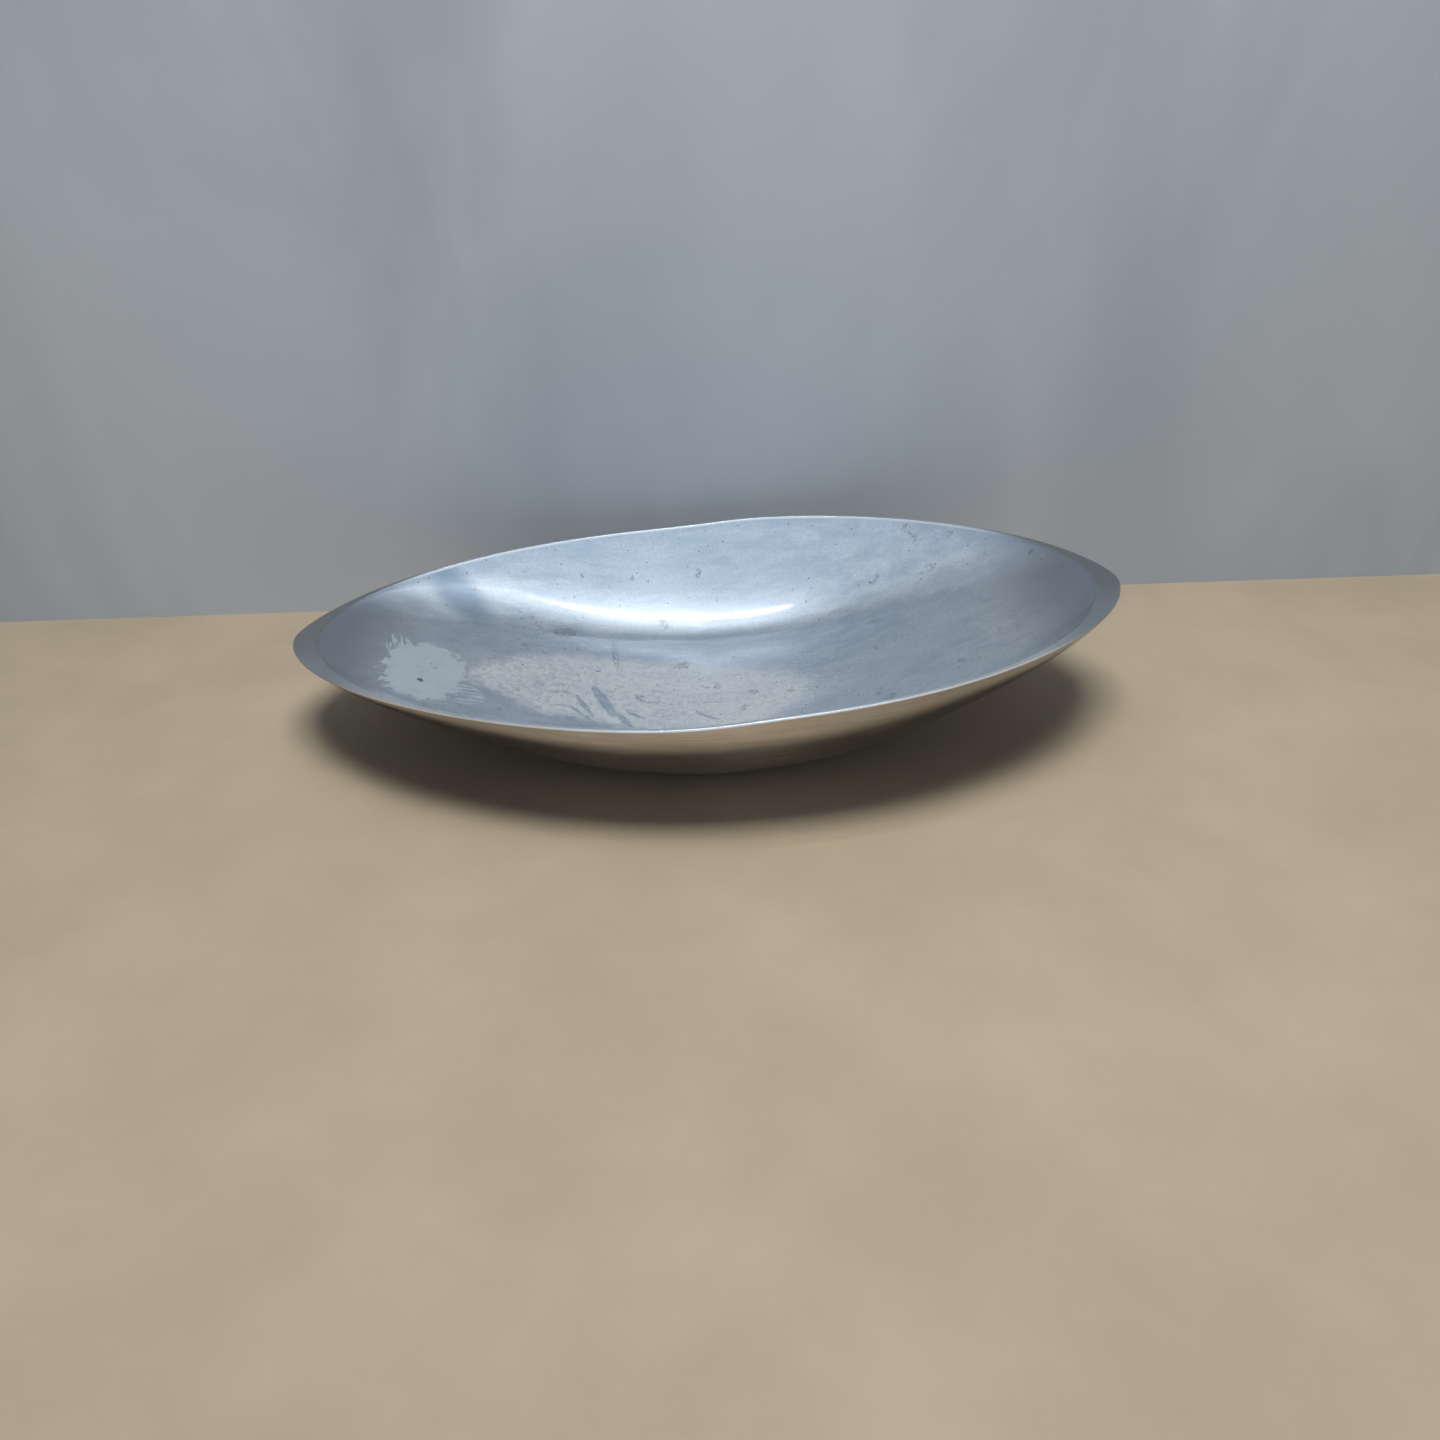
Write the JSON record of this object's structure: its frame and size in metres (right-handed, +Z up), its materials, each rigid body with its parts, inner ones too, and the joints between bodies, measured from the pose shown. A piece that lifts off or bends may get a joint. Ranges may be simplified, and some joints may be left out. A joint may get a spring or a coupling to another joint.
{
  "type": "boat-shaped bowl",
  "caption": "Boat-shaped cast aluminium centrepiece bowl with a tilted, hand-finished rim, broad lips at the tips and small foot pads under a flat base.",
  "frame": {"origin": "middle of the bowl's length and width, on the surface that the pads stand on", "axes": "+X along the long axis towards the higher tip, +Y to the back, +Z up"},
  "size_m": [0.5, 0.284, 0.0812],
  "materials": {
    "aluminium": "hand polished sand casting, satin inside",
    "pad_rubber": "matt"
  },
  "bodies": {
    "root": {"bowl": "aluminium", "foot_pad_front_left": "pad_rubber", "foot_pad_front_right": "pad_rubber", "foot_pad_back_left": "pad_rubber", "foot_pad_back_right": "pad_rubber"}
  },
  "joints": []
}
